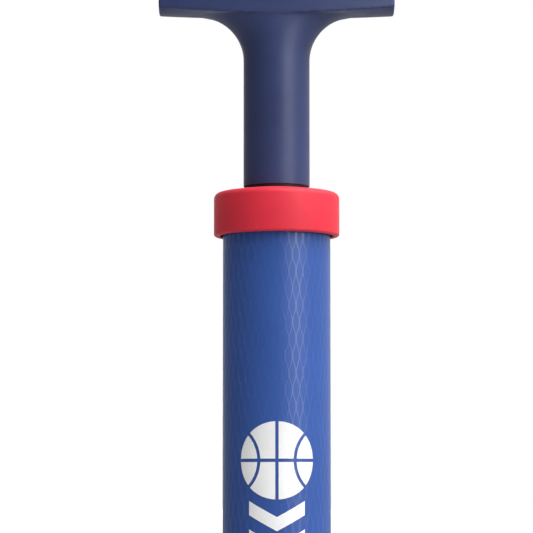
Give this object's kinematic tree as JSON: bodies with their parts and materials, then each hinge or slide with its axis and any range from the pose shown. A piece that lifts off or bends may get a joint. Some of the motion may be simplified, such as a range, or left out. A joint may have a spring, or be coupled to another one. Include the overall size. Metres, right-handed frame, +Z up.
{
  "type": "ball inflation pump",
  "caption": "Hand pump for sports balls: T-handle plunger sliding in a round barrel with collar, base socket for an inflating needle and needle store in the handle.",
  "frame": {"origin": "centre of the base cap's flat underside, where the pump stands", "axes": "+Z up the barrel to the handle, X along the handle bar with the needle store opening at +X, -Y towards the front graphic"},
  "size_m": [0.0724, 0.0384, 0.273],
  "materials": {
    "blue_gloss_plastic": "gloss",
    "red_satin_plastic": "satin",
    "navy_plastic": "satin",
    "natural_plastic": "satin",
    "black_rubber": "matt",
    "felt": "matt",
    "steel": "machined",
    "nickel_needle": "polished",
    "brass": "machined"
  },
  "bodies": {
    "barrel": {"barrel": "blue_gloss_plastic", "collar": "red_satin_plastic", "collar_gasket": "black_rubber", "guide_bush": "natural_plastic", "rod_felt": "felt", "base_cap": "red_satin_plastic", "base_o_ring": "black_rubber", "valve_seat": "natural_plastic", "valve_spring": "steel", "needle_socket": "brass", "socket_gasket": "black_rubber"},
    "valve": {"valve_ball": "steel"},
    "piston": {"piston_head": "natural_plastic", "cup_seal": "black_rubber", "piston_back_plate": "natural_plastic", "swivel_washer": "steel"},
    "handle": {"plunger_tube": "navy_plastic", "rod_lower_plug": "natural_plastic", "rod_upper_plug": "natural_plastic", "piston_screw": "steel", "handle_grip": "navy_plastic", "handle_screw": "steel", "stop_bumper": "black_rubber"},
    "needle_store": {"needle_holder": "navy_plastic", "holder_seal": "black_rubber", "needle_upper": "nickel_needle", "needle_lower": "nickel_needle"}
  },
  "joints": [
    {"name": "plunger_stroke", "type": "slide", "parent": "barrel", "child": "piston", "axis": [0, 0, 1], "range_m": [0, 0.148]},
    {"name": "handle_spin", "type": "hinge", "parent": "piston", "child": "handle", "pos_m": [0, 0, 0.034], "axis": [0, 0, 1], "continuous": true},
    {"name": "holder_pull", "type": "slide", "parent": "handle", "child": "needle_store", "axis": [1, 0, 0], "range_m": [0, 0.058]},
    {"name": "valve_lift", "type": "slide", "parent": "barrel", "child": "valve", "axis": [0, 0, -1], "range_m": [0, 0.001], "stiffness_N_per_m": 80, "springref_m": -0.002, "deforming": ["valve_spring"]}
  ]
}
